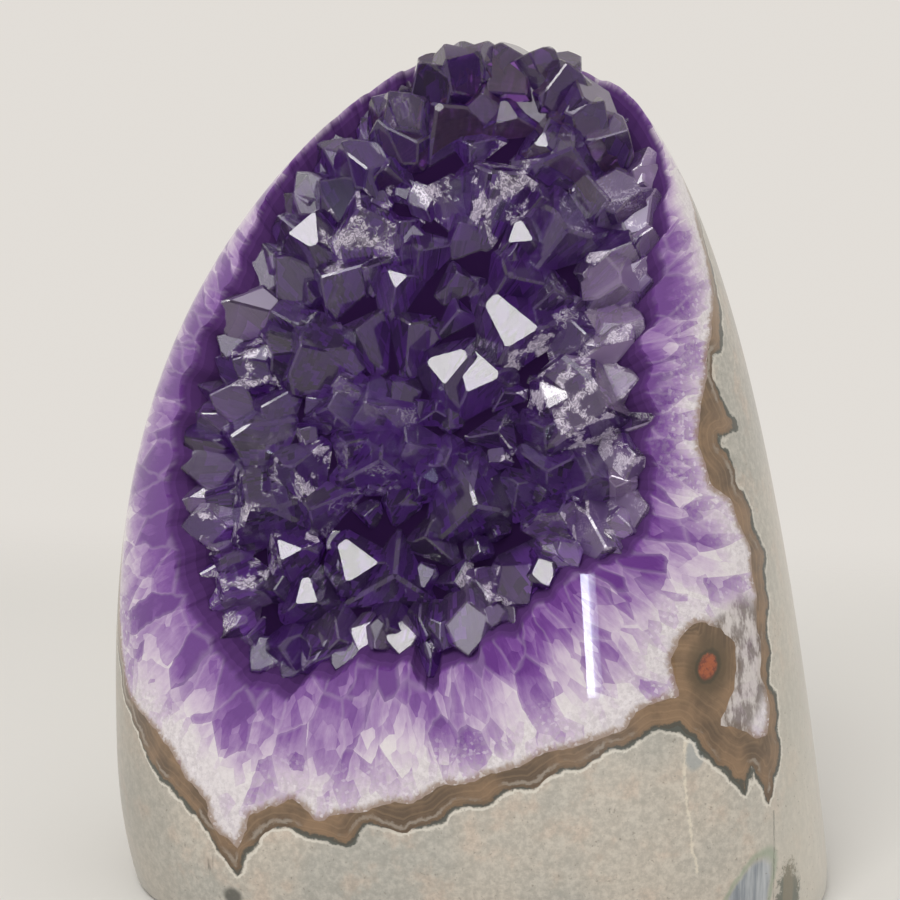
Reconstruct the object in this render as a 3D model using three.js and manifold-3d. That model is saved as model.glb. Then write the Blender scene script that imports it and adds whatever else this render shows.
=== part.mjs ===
import * as THREE from 'three';
import { mergeVertices } from 'three/addons/utils/BufferGeometryUtils.js';
import Module from 'manifold-3d';

const wasm = await Module();
wasm.setup();

// A polished amethyst geode that stands on its sawn base. The stone is 150 mm tall,
// with +Z up, -Y to the front and the origin at the middle of the base's outline.
const HEIGHT = 150;
const APEX = { x: -3.5, y: 3 };

// How far the stone reaches from its upright axis on each side: most at the height z,
// rounding in to the apex above it and drawn in a little by foot at the base below it.
const REACH = {
  right: { most: 68, z: 4, fall: 1.03, round: 3.3, foot: 0, footFall: 1 },
  left: { most: 61, z: 26, fall: 2.7, round: 1.22, foot: 3, footFall: 2.1 },
  front: { most: 46, z: 20, fall: 1.7, round: 1.9, foot: 3, footFall: 2.5 },
  back: { most: 40, z: 40, fall: 2.2, round: 2, foot: 6, footFall: 3 },
};
const SQUARENESS = { front: 2.7, back: 2.3 };
const RING_STEPS = 44;
const LEVELS = 15;
const LEVEL_SPREAD = 1.15;

// The borders that show on the polished face, each point a bearing in degrees around the
// axis (0 is right, -90 is front) and a height in mm. First, basalt against agate.
const BASALT_EDGE = [
  [-145.5, 36], [-139.5, 32], [-138, 29], [-133, 25.5], [-128, 22.5], [-123.5, 18],
  [-122, 14.5], [-118.8, 11.2], [-117.5, 14.5], [-114.5, 19.2], [-109.5, 21.2],
  [-105.5, 19], [-101, 19], [-97.5, 22.2], [-94, 22.4], [-91.5, 20.8], [-87, 24.2],
  [-81.5, 26.6], [-74, 30], [-64, 34.8], [-57, 39], [-52, 39.8], [-48.5, 34.5],
  [-43.3, 28.6], [-41.7, 26.4], [-39.8, 31], [-36.5, 23.5], [-32, 31],
  [-31, 38.5], [-32.2, 45], [-27, 63.5], [-31, 74.5], [-35.8, 84], [-28.7, 86],
  [-34.3, 93], [-32, 97.5], [-26.5, 99], [-21, 105], [-14, 116],
  [-4, 121], [8, 125], [20, 131], [38, 134], [54, 140], [75, 142], [95, 144],
  [118, 141], [140, 138], [155, 130], [166, 126], [173, 114], [182, 107], [184, 93],
  [191, 84], [193, 70], [200, 61], [204, 49], [211, 41],
];

// Then agate against quartz, which rounds a brown knob low on the right.
const AGATE_EDGE = [
  [-145, 38.5], [-138, 35], [-134, 33.5], [-128.5, 28], [-123.8, 22.8], [-122.4, 18.5],
  [-119, 16], [-116.2, 21.5], [-113.2, 24.5], [-109.2, 25.3], [-105.5, 22.8],
  [-100.5, 23.8], [-98, 25.2], [-92, 26.2], [-86, 29.4], [-78.5, 31.8], [-71, 35.6],
  [-64, 38], [-58, 42], [-54, 44], [-52.3, 47.4], [-49.5, 53.3], [-46, 55.2], [-42, 54.4],
  [-40.2, 49.6], [-41, 44.5], [-44.2, 38.5], [-40.5, 36.2], [-35.1, 34.8], [-33.3, 37],
  [-34.2, 46], [-32, 65], [-35.6, 74], [-40, 77.2], [-41.8, 84], [-38.8, 91], [-35.4, 94.6],
  [-33.9, 98.2], [-29.2, 102], [-21, 109.5], [-16.5, 117.5],
  [-6, 123.5], [6, 127.5], [19, 133.5], [37, 137], [53, 142], [75, 144], [95, 145.6],
  [118, 143.4], [141, 140.3], [157, 132.5], [168, 127], [176, 116], [185, 107.5],
  [187.5, 94], [194, 84.5], [196.5, 71], [203, 62], [207.5, 50.5], [212, 43.5],
];

// And the lip, where the polished quartz breaks off into the crystal-lined hollow.
const LIP = [
  [-116.5, 47], [-110, 49.8], [-103.5, 44.5], [-97.5, 48.5], [-91.5, 48], [-87, 53.5],
  [-82, 58], [-75.5, 57], [-71.5, 60], [-65, 61], [-60.5, 66.5], [-55, 72.5], [-50, 75],
  [-44.5, 80], [-48, 86.5], [-49.5, 94.5], [-45, 107], [-43, 118.5], [-35, 129], [-26, 137],
  [-12, 143], [10, 145.5], [45, 147.3], [90, 148], [130, 147], [168, 144.5], [-165, 137],
  [-154, 128], [-148, 118.5], [-143, 108], [-141, 98], [-137.5, 86], [-134.5, 76],
  [-134, 64.5], [-127.5, 55.5], [-122.5, 46],
];

// Each layer's middle, behind the face, and the number of rows of facets from there out to
// the border. An edge's bays and knobs fade with depth into the average over calm points
// each way. The hollow keeps to a depth under the polish, with its walls steep at the lip.
const FLOORS = {
  basalt: { edge: BASALT_EDGE, x: -3, y: -1, z: 82, rows: 4, calm: 7 },
  agate: { edge: AGATE_EDGE, x: -3, y: -4.5, z: 82, rows: 4, calm: 7 },
  hollow: { edge: LIP, x: -5, y: -30, z: 92, rows: 3, calm: 0, depth: 11 },
};
const DETAIL_FADE = 12;
const WALL_STEEPNESS = 5;
const LAYER_GAP = 0.4;
const WELD = 0.002;
// Depths are measured towards the heart of the stone.
const HEART = new THREE.Vector3(-3.5, 12, 70);
const FLARE = 25;
const FLARE_FRONT = -100;
const FLARE_SCALE = 1.15;
const FRONT_POLE = -110;

// Quartz points meet at six faces, each turned 51.8 degrees from the crystal's axis.
const FACE_TILT = THREE.MathUtils.degToRad(51.8);
const ROOT_LENGTH = 20;
const HOLLOW_MIDDLE = { x: -6, z: 92, across: 50, up: 56 };
const LEAN_AT_LIP = 0.65;
const STRAY = 0.16;
// Faces stand up to this share of the width off their mean place, and narrow points have three.
const MOST_SET_BACK = 0.12;
const SIX_FACES_FROM = 10;
// The way that the brightest faces look, as a bearing and an angle above level.
const BRIGHT_FACE = { bearing: -92, rise: 31 };

// The points that show best: bearing in degrees, height, width and depth of the tip under
// the polish in mm, with a negative depth ground flush, and last the depth of a bright face.
const POINTS = [
  [-93, 147, 8.6, -1], [-125, 145, 8.1, -1], [-75, 148, 8.1, -1], [-41, 145, 8.7, -1],
  [-97, 139, 16.6, 1, 3.5], [-78, 142, 9.1, 3], [-70, 139, 8.6, 3, 2.5],
  [-63, 135, 10.4, 2, 2.5], [-46, 140, 10.5, 0], [-76, 129, 15.6, 1], [-93, 128, 10, 3],
  [-114, 123, 16, -1], [-55, 131, 15.9, 1], [-49, 125, 11.1, 2], [-60, 119, 16.1, 1],
  [-73, 119, 8.8, 3.5, 2.8], [-85, 121, 8.5, 4], [-93, 116, 8.1, 3], [-74, 112, 12.1, 3],
  [-65, 110, 11, 3], [-98, 112, 8.4, 3.5, 2.2], [-51, 110, 9.9, 1], [-52, 101, 9.5, 0],
  [-129, 119, 10.2, 1.5, 3], [-133, 114, 8.6, 2], [-117, 112, 11.1, 3], [-108, 113, 9.2, 4],
  [-122, 99, 10.4, 2], [-115, 100, 11.4, 1], [-139, 105, 9.5, -1], [-127, 83, 13.4, 2],
  [-113, 81, 10.3, 3], [-110, 90, 10.3, 4], [-73, 102, 14.9, 1, 4.5], [-88, 98, 9.9, 2.5, 3.5],
  [-82, 95, 10.5, 2.5, 4], [-68, 93, 8.3, 3.5, 2.6], [-70, 87, 9.4, 4], [-70, 81, 9.4, 4],
  [-78, 87, 8.3, 5], [-58, 89, 15.2, -1], [-54, 83, 9.7, 0], [-82, 73, 16.7, 2],
  [-119, 72, 16.2, 1], [-109, 73, 10.6, 4], [-114, 67, 8.1, 2.5, 2.5], [-95, 63, 17.5, 2],
  [-101, 66, 9, 2.5, 4], [-109, 59, 9.9, 3, 2.5], [-123, 58, 12.3, 1], [-103, 52, 9.5, 2],
  [-113, 50, 8.1, 1], [-61, 69, 10.9, 0], [-79, 59, 9.1, 2], [-130, 67, 9.1, 3],
  [-131, 74, 8.6, 3], [-99, 81, 13.1, 3], [-102, 91, 10.6, 4], [-96, 104, 10.2, 4],
  [-106, 104, 10.6, 4], [-85, 107, 10.5, 5], [-85, 114, 8.1, 5], [-60, 103, 9.9, 3],
  [-60, 97, 8.4, 4], [-62, 80, 10.1, 3], [-68, 73, 10.4, 3], [-72, 66, 9.1, 3],
  [-86, 62, 8.7, 5], [-94, 86, 9.1, 5], [-87, 82, 9.4, 5], [-109, 96, 8.1, 5],
  [-122, 90, 9.3, 4], [-129, 106, 9.4, 3], [-132, 127, 8.7, 1], [-136, 133, 8.7, 0],
  [-125, 137, 8.7, 1], [-109, 130, 8.6, 3], [-82, 135, 8.5, 4], [-45, 118, 8.8, 1],
  [-47, 76, 9.2, -1], [-53, 75, 9.9, 0], [-96, 54, 9.9, 2], [-89, 53, 8.4, 3],
  [-106, 84, 9.5, 5], [-115, 60, 8.1, 4], [-119, 52, 9.6, 2], [-125, 64, 8.2, 3],
  [-105, 64, 8.4, 5], [-66, 126, 8.1, 4], [-102, 122, 8.2, 4], [-90, 70, 8.4, 5],
  [-74, 79, 8.3, 5], [-160, 132, 8.2, -1], [-107, 51, 8.1, 1], [-150, 141, 9, 0],
  [170, 146.5, 9, 0], [110, 148.6, 9, 0], [60, 148.4, 9, 0], [15, 146.5, 9, 0],
];

const LOOKS = {
  basalt: { color: '#a89c8d', roughness: 0.32, metalness: 0 },
  agate: { color: '#8a6038', roughness: 0.2, metalness: 0 },
  amethyst: { color: '#5b2f92', roughness: 0.08, metalness: 0, flatShading: true },
};

// The same run of fractions each time, so that every crystal keeps its turn and lean.
const chance = { state: 7 };
function fraction() {
  const MULTIPLIER = 16807;
  const MODULUS = 2147483647;
  chance.state = (chance.state * MULTIPLIER) % MODULUS;
  return chance.state / MODULUS;
}

function reachAt(side, z) {
  const { most, z: widest, fall, round, foot, footFall } = REACH[side];
  if (z < widest) return most - foot * ((widest - z) / widest) ** footFall;
  const climb = Math.min((z - widest) / (HEIGHT - widest), 1);
  return most * (1 - climb ** fall) ** (1 / round);
}

function onDome(bearing, z) {
  const angle = THREE.MathUtils.degToRad(bearing);
  const cos = Math.cos(angle);
  const sin = Math.sin(angle);
  const power = sin >= 0 ? SQUARENESS.back : SQUARENESS.front;
  const stretch = (Math.abs(cos) ** power + Math.abs(sin) ** power) ** (-1 / power);
  const across = reachAt(cos >= 0 ? 'right' : 'left', z);
  const deep = reachAt(sin >= 0 ? 'back' : 'front', z);
  return new THREE.Vector3(APEX.x + across * cos * stretch, APEX.y + deep * sin * stretch, z);
}

function domeNormal(bearing, z) {
  const STEP = 0.5;
  const here = onDome(bearing, z);
  const aside = onDome(bearing + STEP, z).sub(here);
  const below = here.sub(onDome(bearing, z - STEP));
  return aside.cross(below).normalize();
}

function solidOf(rings, firstPole, lastPole) {
  const points = [firstPole, ...rings.flat(), lastPole];
  const count = rings[0].length;
  const at = (row, column) => 1 + row * count + (column % count);
  const last = points.length - 1;
  const faces = [];
  for (let column = 0; column < count; column++) {
    faces.push([0, at(0, column + 1), at(0, column)]);
    faces.push([last, at(rings.length - 1, column), at(rings.length - 1, column + 1)]);
    for (let row = 0; row + 1 < rings.length; row++) {
      faces.push([at(row, column), at(row, column + 1), at(row + 1, column + 1)]);
      faces.push([at(row, column), at(row + 1, column + 1), at(row + 1, column)]);
    }
  }
  const vertProperties = new Float32Array(points.flatMap((point) => point.toArray()));
  const triVerts = new Uint32Array(faces.flat());
  return new wasm.Manifold(new wasm.Mesh({ numProp: 3, vertProperties, triVerts }));
}

// The outside of the stone, with its rows closer together where it rounds over at the top.
function domeSolid() {
  const rings = [];
  for (let level = 0; level < LEVELS; level++) {
    const part = level / LEVELS;
    const z = HEIGHT * Math.sin(part * Math.PI / 2) ** LEVEL_SPREAD;
    rings.push(Array.from({ length: RING_STEPS }, (_, step) => onDome(360 * step / RING_STEPS, z)));
  }
  return solidOf(rings, new THREE.Vector3(APEX.x, APEX.y, 0), new THREE.Vector3(APEX.x, APEX.y, HEIGHT));
}

function isInside({ x, y, z }) {
  const right = x - APEX.x;
  const back = y - APEX.y;
  if (z >= HEIGHT) return false;
  const across = reachAt(right >= 0 ? 'right' : 'left', z);
  const deep = reachAt(back >= 0 ? 'back' : 'front', z);
  const power = back >= 0 ? SQUARENESS.back : SQUARENESS.front;
  return Math.abs(right / across) ** power + Math.abs(back / deep) ** power < 1;
}

// Under the polish by a depth, on the line from the heart through a point.
function underPolish(point, depth) {
  const HALVINGS = 36;
  const way = point.clone().sub(HEART).normalize();
  let near = 0;
  let far = 2 * HEIGHT;
  for (let halving = 0; halving < HALVINGS; halving++) {
    const middle = (near + far) / 2;
    if (isInside(HEART.clone().addScaledVector(way, middle))) near = middle;
    else far = middle;
  }
  return HEART.clone().addScaledVector(way, near - depth);
}

// The middle of a stretch of an edge, which leaves out its small bays and knobs.
function averageAround(points, index, calm) {
  const middle = new THREE.Vector3();
  for (let step = -calm; step <= calm; step++) {
    middle.add(points[(index + step + points.length) % points.length]);
  }
  return middle.divideScalar(2 * calm + 1);
}

// A closed bowl that meets the stone's outside along an edge, sunk to its floor behind it
// and flared past the outside in front. A shrink in mm draws it in, to leave a gap.
function bowlSolid({ edge, x, y, z, rows, calm, depth }, shrink) {
  const floor = new THREE.Vector3(x, y - shrink, z);
  const border = edge.map(([bearing, height]) => onDome(bearing, height));
  const outward = edge.map(([bearing, height]) => domeNormal(bearing, height));
  const drawn = border.map((point, index) => {
    const next = border[(index + 1) % border.length];
    const before = border[(index + border.length - 1) % border.length];
    const inward = new THREE.Vector3().crossVectors(outward[index], next.clone().sub(before)).normalize();
    return point.clone().addScaledVector(inward, shrink);
  });
  const calmed = drawn.map((_, index) => averageAround(drawn, index, calm));
  const rings = [];
  for (let row = 1; row <= rows; row++) {
    const turn = row / rows * Math.PI / 2;
    const aside = Math.sin(turn);
    rings.push(drawn.map((point, index) => {
      const side = calmed[index].clone().lerp(point, aside ** DETAIL_FADE);
      if (depth) {
        const sunk = depth * Math.sqrt(1 - aside ** WALL_STEEPNESS);
        return underPolish(floor.clone().lerp(side, aside), sunk);
      }
      return new THREE.Vector3(
        floor.x + (side.x - floor.x) * aside,
        floor.y + (side.y - floor.y) * (1 - Math.cos(turn)),
        floor.z + (side.z - floor.z) * aside,
      );
    }));
  }
  rings.push(drawn.map((point, index) => point.clone().addScaledVector(outward[index], FLARE)));
  rings.push(drawn.map((point) => new THREE.Vector3(
    floor.x + (point.x - floor.x) * FLARE_SCALE,
    FLARE_FRONT,
    floor.z + (point.z - floor.z) * FLARE_SCALE,
  )));
  const deepest = depth ? underPolish(floor, depth) : floor;
  return solidOf(rings, deepest, new THREE.Vector3(floor.x, FRONT_POLE, floor.z));
}

// One quartz point: a six-sided stem whose three large and three small faces meet at a tip.
function pointSolid([bearing, height, width, below, brightFace]) {
  const outward = domeNormal(bearing, height);
  const place = onDome(bearing, height);
  const tip = place.clone().addScaledVector(outward, -below);
  const aside = (HOLLOW_MIDDLE.x - place.x) / HOLLOW_MIDDLE.across;
  const rise = (HOLLOW_MIDDLE.z - place.z) / HOLLOW_MIDDLE.up;
  const spread = Math.min(Math.hypot(aside, rise), 1);
  const lean = LEAN_AT_LIP * spread ** 3;
  const axis = outward.clone().add(new THREE.Vector3(
    aside * lean + STRAY * (fraction() * 2 - 1),
    STRAY * (fraction() * 2 - 1),
    rise * lean + STRAY * (fraction() * 2 - 1),
  )).normalize();

  const stem = new THREE.CylinderGeometry(width / Math.sqrt(3), width / Math.sqrt(3), ROOT_LENGTH, 6);
  stem.rotateX(Math.PI / 2);
  stem.translate(0, 0, -ROOT_LENGTH / 2);
  let crystal = manifoldOf(stem);
  for (let side = 0; side < 6; side++) {
    const small = side % 2 === 1;
    const setBack = fraction() * MOST_SET_BACK;
    if (small && width < SIX_FACES_FROM) continue;
    const angle = (side + 0.5) * Math.PI / 3;
    const reach = width * (small ? setBack : -setBack);
    crystal = crystal.trimByPlane([
      -Math.sin(FACE_TILT) * Math.cos(angle),
      -Math.sin(FACE_TILT) * Math.sin(angle),
      -Math.cos(FACE_TILT),
    ], -reach);
  }
  const stand = new THREE.Quaternion().setFromUnitVectors(new THREE.Vector3(0, 0, 1), axis);
  const turn = new THREE.Quaternion().setFromAxisAngle(new THREE.Vector3(0, 0, 1), fraction() * Math.PI);
  const placed = new THREE.Matrix4().compose(tip, stand.multiply(turn), new THREE.Vector3(1, 1, 1));
  crystal = crystal.transform(placed.elements);
  if (brightFace) {
    const round = THREE.MathUtils.degToRad(BRIGHT_FACE.bearing);
    const up = THREE.MathUtils.degToRad(BRIGHT_FACE.rise);
    const facing = new THREE.Vector3(Math.cos(round) * Math.cos(up), Math.sin(round) * Math.cos(up), Math.sin(up));
    const level = facing.dot(tip.clone().addScaledVector(axis, -brightFace));
    crystal = crystal.trimByPlane(facing.negate().toArray(), -level);
  }
  return crystal;
}

// The largest piece of a solid, without loose chips or hollows sealed inside it.
function mainPiece(solid) {
  const { vertProperties, triVerts } = solid.getMesh();
  const geometry = new THREE.BufferGeometry();
  geometry.setAttribute('position', new THREE.BufferAttribute(vertProperties, 3));
  geometry.setIndex(new THREE.BufferAttribute(triVerts, 1));
  const pieces = manifoldOf(geometry).decompose();
  return pieces.reduce((most, piece) => (piece.volume() > most.volume() ? piece : most));
}

function manifoldOf(geometry) {
  geometry.deleteAttribute('normal');
  geometry.deleteAttribute('uv');
  const merged = mergeVertices(geometry, WELD);
  const vertProperties = new Float32Array(merged.attributes.position.array);
  const triVerts = new Uint32Array(merged.index.array);
  return new wasm.Manifold(new wasm.Mesh({ numProp: 3, vertProperties, triVerts }));
}

function meshOf(name, solid, look) {
  const { vertProperties, triVerts } = solid.getMesh();
  const geometry = new THREE.BufferGeometry();
  geometry.setAttribute('position', new THREE.BufferAttribute(vertProperties, 3));
  geometry.setIndex(new THREE.BufferAttribute(triVerts, 1));
  geometry.computeVertexNormals();
  const mesh = new THREE.Mesh(geometry, new THREE.MeshStandardMaterial(look));
  mesh.name = name;
  return mesh;
}

const dome = domeSolid();
const basalt = mainPiece(dome.subtract(bowlSolid(FLOORS.basalt, 0)));
const agateBowl = bowlSolid(FLOORS.agate, 0);
const agateSpace = dome.intersect(bowlSolid(FLOORS.basalt, LAYER_GAP));
const agate = mainPiece(agateSpace.subtract(agateBowl));
const quartzSpace = dome.intersect(bowlSolid(FLOORS.agate, LAYER_GAP)).intersect(agateBowl);
const bed = quartzSpace.subtract(bowlSolid(FLOORS.hollow, 0));
const crystals = wasm.Manifold.union(POINTS.map(pointSolid)).intersect(quartzSpace);
const crust = mainPiece(bed.add(crystals));

const geode = new THREE.Group();
geode.add(meshOf('basalt_matrix', basalt, LOOKS.basalt));
geode.add(meshOf('agate_lining', agate, LOOKS.agate));
geode.add(meshOf('amethyst_crust', crust, LOOKS.amethyst));

export default geode;
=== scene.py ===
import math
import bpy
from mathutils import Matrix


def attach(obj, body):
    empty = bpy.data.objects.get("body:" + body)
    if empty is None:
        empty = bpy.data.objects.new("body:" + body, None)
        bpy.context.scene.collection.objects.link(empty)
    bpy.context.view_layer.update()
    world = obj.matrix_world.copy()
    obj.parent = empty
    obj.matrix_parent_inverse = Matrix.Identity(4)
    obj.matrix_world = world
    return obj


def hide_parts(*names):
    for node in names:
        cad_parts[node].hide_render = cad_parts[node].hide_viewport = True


bl_info = {
    "name": "Amethyst geode",
    "version": (1, 0, 0),
    "blender": (4, 5, 0),
    "location": "3D View > Sidebar > Geode",
    "description": "Dresses the packed geode: polished basalt, agate band, quartz rim and amethyst points",
    "category": "Add Mesh",
}

import bpy
import numpy as np
from bpy.props import FloatProperty, FloatVectorProperty, IntProperty, PointerProperty
from mathutils import Matrix, Quaternion, Vector
from mathutils.kdtree import KDTree

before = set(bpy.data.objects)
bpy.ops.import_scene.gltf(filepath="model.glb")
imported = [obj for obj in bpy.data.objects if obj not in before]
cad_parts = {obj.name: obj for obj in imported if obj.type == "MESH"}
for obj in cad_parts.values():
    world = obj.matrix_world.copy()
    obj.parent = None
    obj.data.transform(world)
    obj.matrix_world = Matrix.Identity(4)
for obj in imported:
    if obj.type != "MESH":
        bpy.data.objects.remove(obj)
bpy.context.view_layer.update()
MM = 0.001

# The same stone as the solids: how far it reaches from its upright axis on each side, most at
# the height z, rounding in above it and drawn in a little at the base. All in mm.
HEIGHT = 150.0
APEX = (-3.5, 3.0)
REACH = {
    "right": dict(most=68.0, z=4.0, fall=1.03, round=3.3, foot=0.0, foot_fall=1.0),
    "left": dict(most=61.0, z=26.0, fall=2.7, round=1.22, foot=3.0, foot_fall=2.1),
    "front": dict(most=46.0, z=20.0, fall=1.7, round=1.9, foot=3.0, foot_fall=2.5),
    "back": dict(most=40.0, z=40.0, fall=2.2, round=2.0, foot=6.0, foot_fall=3.0),
}
SQUARE_FRONT = 2.7
SQUARE_BACK = 2.3

# Borders on the polished face: a bearing in degrees (0 right, -90 front) and a height in mm.
BASALT_EDGE = (
    (-145.5, 36), (-139.5, 32), (-138, 29), (-133, 25.5), (-128, 22.5), (-123.5, 18),
    (-122, 14.5), (-118.8, 11.2), (-117.5, 14.5), (-114.5, 19.2), (-109.5, 21.2),
    (-105.5, 19), (-101, 19), (-97.5, 22.2), (-94, 22.4), (-91.5, 20.8), (-87, 24.2),
    (-81.5, 26.6), (-74, 30), (-64, 34.8), (-57, 38.4), (-52, 39.4), (-48.5, 34.5),
    (-43.3, 28.6), (-41.7, 26.4), (-39.8, 31), (-36.5, 23.5), (-32, 31),
    (-31, 38.5), (-32.2, 45), (-27, 63.5), (-31, 74.5), (-35.8, 84), (-28.7, 86),
    (-34.3, 93), (-32, 97.5), (-26.5, 99), (-21, 105), (-14, 116),
    (-4, 121), (8, 125), (20, 131), (38, 134), (54, 140), (75, 142), (95, 144),
    (118, 141), (140, 138), (155, 130), (166, 126), (173, 114), (182, 107), (184, 93),
    (191, 84), (193, 70), (200, 61), (204, 49), (211, 41),
)
AGATE_EDGE = (
    (-145, 38.5), (-138, 35), (-134, 33.5), (-128.5, 28), (-123.8, 22.8), (-122.4, 18.5),
    (-119, 16), (-116.2, 21.5), (-113.2, 24.5), (-109.2, 25.3), (-105.5, 22.8),
    (-100.5, 23.8), (-98, 25.2), (-92, 26.2), (-86, 29.4), (-78.5, 31.8), (-71, 35.6),
    (-64, 37.6), (-60.2, 39.2), (-58.4, 42), (-54.8, 43.4), (-51.8, 44), (-51.9, 46.6),
    (-52.3, 49.8), (-51, 53.1), (-48.6, 55), (-45.6, 55.3), (-42.5, 54.2), (-40.4, 50.8),
    (-40.2, 46.5), (-43.1, 42.3), (-44.6, 38.6), (-40.5, 36.2), (-35.1, 34.8), (-33.3, 37),
    (-34.2, 46), (-32, 65), (-35.6, 74), (-40, 77.2), (-41.8, 84), (-38.8, 91), (-35.4, 94.6),
    (-33.9, 98.2), (-29.2, 102), (-21, 109.5), (-16.5, 117.5),
    (-6, 123.5), (6, 127.5), (19, 133.5), (37, 137), (53, 142), (75, 144), (95, 145.6),
    (118, 143.4), (141, 140.3), (157, 132.5), (168, 127), (176, 116), (185, 107.5),
    (187.5, 94), (194, 84.5), (196.5, 71), (203, 62), (207.5, 50.5), (212, 43.5),
)
LIP = (
    (-122, 47.5), (-117, 43.5), (-111, 42.5), (-106.5, 45.5), (-102, 47.5), (-97.5, 49), (-92.5, 48.5),
    (-88, 45.5), (-83.5, 49.5), (-79, 52.5), (-74.5, 55.5), (-70.5, 60), (-66.5, 63.5), (-62, 65.5),
    (-57.5, 66.5), (-53.5, 70.5), (-51.5, 77), (-51.5, 84.5), (-49.5, 90.5), (-50, 99.5), (-45, 106.5),
    (-39, 116), (-29, 124.5), (-15, 131.5), (-2, 137), (18, 141.5), (45, 145), (90, 147.5), (130, 147),
    (160, 144.5), (180, 140), (195, 134.5), (206, 127), (216, 118.5), (221.5, 109), (219, 99), (219.5, 90),
    (221.5, 82.5), (223.5, 72.5), (227.5, 63), (231.5, 55), (236, 51),
)
# Each bowl's border, its middle, the size in mm of the waves along its border, their seed, and the
# share of the border over which they are evened out towards the middle. A bowl with a depth lies
# that many mm behind the polished outside, and the others are rounded.
BOWLS = {
    "basalt": dict(edge=BASALT_EDGE, floor=(-3.0, -1.0, 82.0), wave=0.45, seed=3, calm=0.2),
    "agate": dict(edge=AGATE_EDGE, floor=(-3.0, -4.5, 82.0), wave=0.3, seed=5, calm=0.2),
    "hollow": dict(edge=LIP, floor=(-5.0, -30.0, 92.0), wave=0.5, seed=8, calm=0.04, depth=11.0),
}
BOWLS["sockets"] = dict(BOWLS["hollow"], depth=17.0)
# The power that makes the hollow's walls steep, and the place that its depths are measured towards.
HOLLOW_STEEP = 28.0
HEART = (-3.5, 12.0, 70.0)
# How often the search for the outside halves its range.
HALVINGS = 36
# The lengths in mm of the waves along a border.
WAVE_PERIODS = (9.0, 4.0, 1.9)
# A bowl's grid. Its waves fade with this power, and in front of the stone it flares out to a pole.
BOWL_COLUMNS = 600
BOWL_ROWS = 30
FLARE_ROWS = 4
DETAIL_FADE = 12.0
FLARE = 25.0
FLARE_FRONT = -100.0
FLARE_SCALE = 1.15
FRONT_POLE = -110.0
# Corners closer than WELD mm are one, and each step of a border is split FINER times to measure.
WELD = 0.001
FINER = 8
# The dome's grid, closer at the top, the place that it is drawn in towards, and the rings of its
# sawn base: shares of its reach, and at the softened edge their heights in mm too.
DOME_COLUMNS = 320
DOME_ROWS = 190
DOME_CLIMB = 1.15
DOME_HEART = (*APEX, 60.0)
BASE_RINGS = (0.0, 0.35, 0.7, 0.93)
BASE_EDGE = ((0.985, 0.0), (0.995, 0.25), (1.0, 0.9))

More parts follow.
